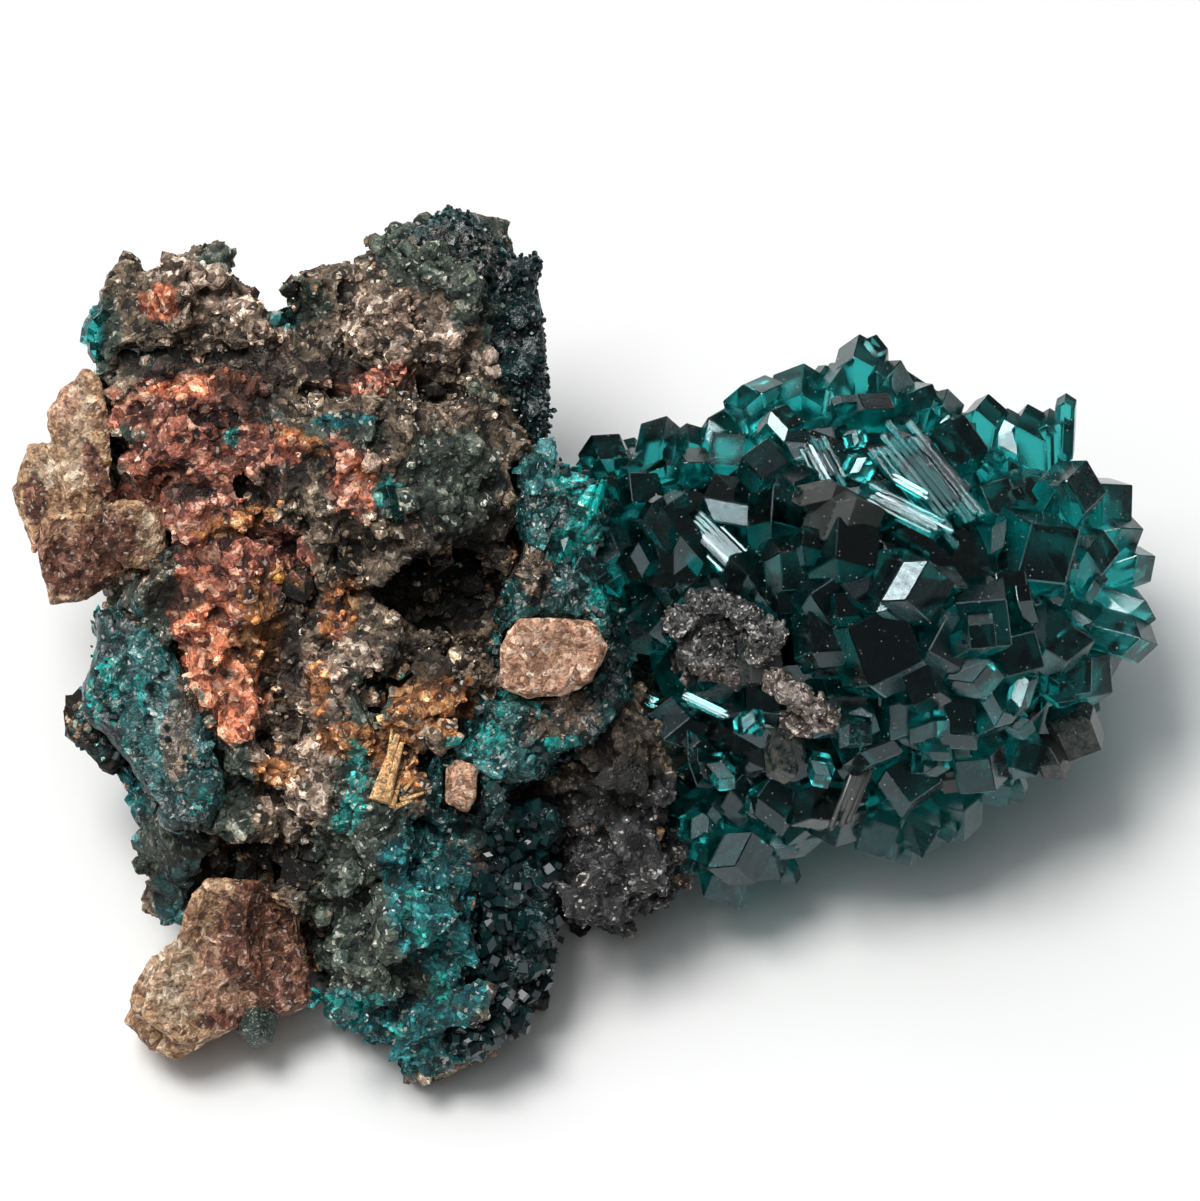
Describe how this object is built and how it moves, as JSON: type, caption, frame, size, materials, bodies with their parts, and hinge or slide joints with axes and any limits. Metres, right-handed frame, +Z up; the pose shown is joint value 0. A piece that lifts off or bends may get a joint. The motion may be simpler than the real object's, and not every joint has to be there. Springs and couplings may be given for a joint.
{
  "type": "mineral specimen",
  "caption": "Mineral specimen: a rusty, porous rock matrix with a large cluster of dark green dioptase crystals on one side, crystal crusts, and tan calcite blocks.",
  "frame": {"origin": "bottom centre of the bounding box, on the surface that the specimen rests on", "axes": "+X along the longest side, from the calcite blocks to the tip of the crystal cluster; +Z up, with the show face looking up and towards -Y"},
  "size_m": [0.0498, 0.0354, 0.0215],
  "materials": {
    "gossan": "rough, porous, grey-brown to brick red",
    "calcite": "fine-grained, matt, pinkish tan",
    "dioptase": "vitreous, flat crystal faces, deep teal green"
  },
  "bodies": {
    "root": {"matrix": "gossan", "calcite_left_group": "calcite", "calcite_foot": "calcite", "calcite_front_block": "calcite", "calcite_front_chip": "calcite", "dioptase_cluster": "dioptase", "dioptase_tower": "dioptase", "dioptase_left_crust": "dioptase", "dioptase_front_crust": "dioptase", "dioptase_lower_druse": "dioptase"}
  },
  "joints": []
}
